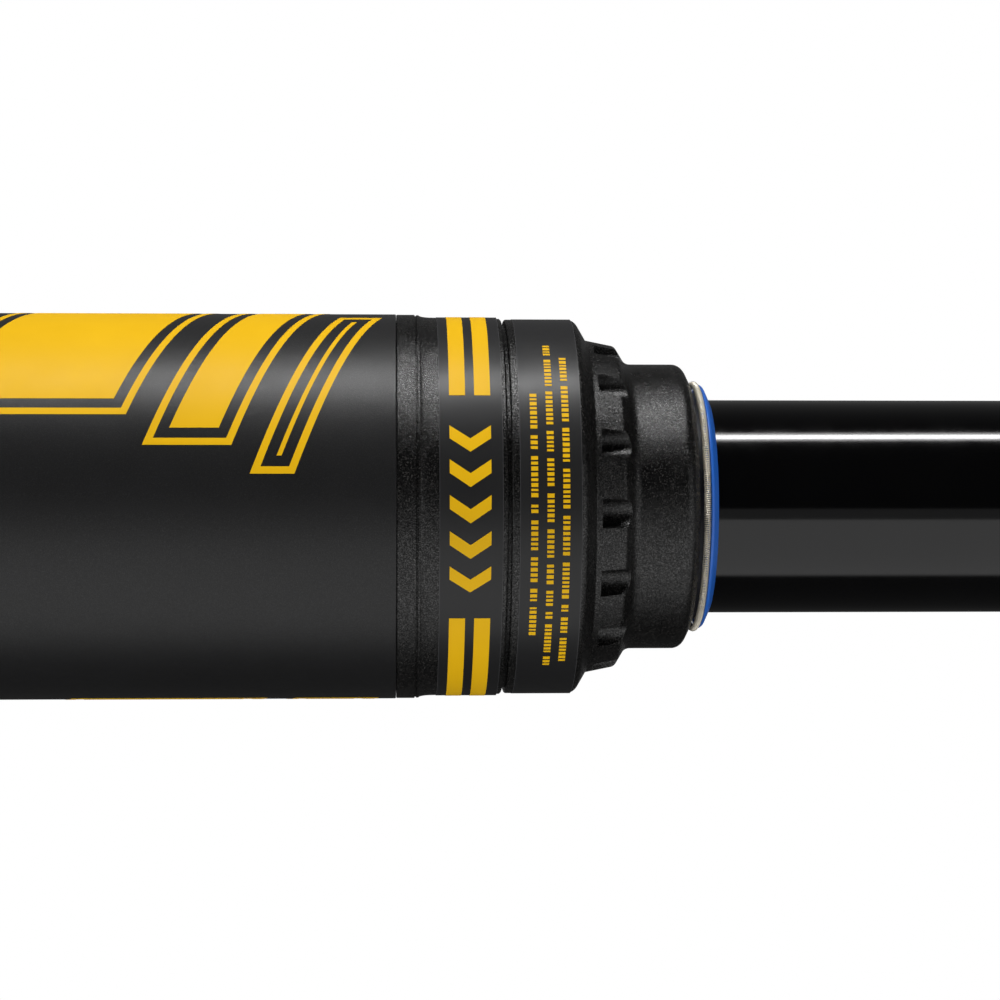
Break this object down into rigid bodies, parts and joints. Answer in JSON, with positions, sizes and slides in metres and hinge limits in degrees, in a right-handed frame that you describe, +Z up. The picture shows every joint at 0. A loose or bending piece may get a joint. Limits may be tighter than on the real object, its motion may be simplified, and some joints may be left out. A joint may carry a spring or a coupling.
{
  "type": "rear shock absorber",
  "caption": "Inline air-sprung bicycle shock: sleeved air can with seal head sliding on a damper tube, with bolt eyes, adjusters and air valve.",
  "frame": {"origin": "centre of the mounting eye at the air-can end", "axes": "+X along the shock to the damper eye, +Y along both eye bores, +Z up, the adjusters' side"},
  "size_m": [0.254, 0.056, 0.056],
  "materials": {
    "black_anodised": "satin black anodised",
    "blasted_anodised": "coarse bead-blasted black anodised",
    "gloss_tube": "polished black",
    "bare_aluminium": "machined",
    "steel": "ground",
    "chrome_shaft": "hard chrome",
    "spring_wire": "drawn wire",
    "bronze": "sintered",
    "brass": "machined",
    "rubber": "matt",
    "blue_elastomer": "smooth",
    "bumper_elastomer": "smooth",
    "guide_plastic": "filled plastic",
    "spacer_plastic": "moulded",
    "blue_anodised": "satin blue anodised",
    "red_anodised": "satin red anodised",
    "yellow_print": "screen print",
    "label_film": "satin film"
  },
  "bodies": {
    "air_can": {"head_eyelet": "black_anodised", "head_bushing": "bronze", "damper_shaft": "chrome_shaft", "shaft_base_oring": "rubber", "main_piston": "bare_aluminium", "piston_band": "guide_plastic", "compression_shims": "steel", "rebound_shims": "steel", "piston_nut": "steel", "inner_air_can": "blasted_anodised", "outer_air_sleeve": "black_anodised", "sleeve_orings": "rubber", "can_oring": "rubber", "volume_spacer": "spacer_plastic", "seal_head": "blasted_anodised", "seal_head_oring": "rubber", "tube_bushing": "bronze", "quad_ring": "rubber", "backup_rings": "guide_plastic", "wiper_seal": "blue_elastomer", "garter_spring": "spring_wire", "top_out_bumper": "bumper_elastomer", "bottom_out_bumper": "bumper_elastomer", "valve_body": "steel", "valve_core": "brass", "bleed_screw": "steel", "detent_ball": "steel", "detent_spring": "steel"},
    "damper_body": {"damper_tube": "gloss_tube", "shaft_guide": "bare_aluminium", "shaft_bushing": "bronze", "shaft_seal": "rubber", "shaft_wiper": "rubber", "guide_oring": "rubber", "air_piston": "black_anodised", "air_piston_seal": "rubber", "air_piston_band": "guide_plastic", "body_eyelet": "black_anodised", "body_bushing": "bronze", "body_oring": "rubber", "fill_port_screw": "steel", "fill_port_pellet": "rubber"},
    "gas_piston": {"floating_piston": "bare_aluminium", "floating_piston_oring": "rubber", "floating_piston_band": "guide_plastic"},
    "lever": {"compression_lever": "blue_anodised"},
    "dial": {"rebound_knob": "red_anodised"},
    "needle": {"metering_rod": "steel"},
    "cap": {"valve_cap": "black_anodised", "valve_cap_seal": "rubber"},
    "pin": {"valve_pin": "steel"},
    "head_hardware": {"head_axle": "steel", "head_spacers": "bare_aluminium", "head_eye_seals": "rubber"},
    "body_hardware": {"body_axle": "steel", "body_spacers": "bare_aluminium", "body_eye_seals": "rubber"},
    "travel_ring": {"sag_oring": "rubber"}
  },
  "joints": [
    {"name": "shock_stroke", "type": "slide", "parent": "air_can", "child": "damper_body", "axis": [-1, 0, 0], "range_m": [0, 0.06], "stiffness_N_per_m": 50000, "springref_m": -0.004},
    {"name": "gas_piston_slide", "type": "slide", "parent": "damper_body", "child": "gas_piston", "axis": [1, 0, 0], "range_m": [0, 0.0085]},
    {"name": "compression_lever_turn", "type": "hinge", "parent": "air_can", "child": "lever", "pos_m": [0.014, 0, 0.0143], "axis": [0, 0, -1], "range_deg": [0, 90]},
    {"name": "rebound_dial_turn", "type": "hinge", "parent": "air_can", "child": "dial", "pos_m": [0.014, 0, 0.018], "axis": [0, 0, 1], "range_deg": [0, 300]},
    {"name": "metering_rod_slide", "type": "slide", "parent": "air_can", "child": "needle", "axis": [1, 0, 0], "range_m": [0, 0.00131]},
    {"name": "valve_cap_off", "type": "slide", "parent": "air_can", "child": "cap", "axis": [0, -1, 0], "range_m": [0, 0.015]},
    {"name": "valve_pin_press", "type": "slide", "parent": "air_can", "child": "pin", "axis": [0, 1, 0], "range_m": [0, 0.001], "stiffness_N_per_m": 1500, "springref_m": -0.0003},
    {"name": "head_hardware_spin", "type": "hinge", "parent": "air_can", "child": "head_hardware", "pos_m": [0, 0, 0], "axis": [0, 1, 0], "continuous": true},
    {"name": "body_hardware_spin", "type": "hinge", "parent": "damper_body", "child": "body_hardware", "pos_m": [0.23, 0, 0], "axis": [0, 1, 0], "continuous": true},
    {"name": "travel_ring_slide", "type": "slide", "parent": "damper_body", "child": "travel_ring", "axis": [1, 0, 0], "range_m": [-0.06, 0]}
  ],
  "couplings": [
    {"joint": "gas_piston_slide", "follows": "shock_stroke", "ratio": 0.13717},
    {"joint": "rebound_dial_turn", "follows": "metering_rod_slide", "rad_per_m": 3996.9}
  ]
}
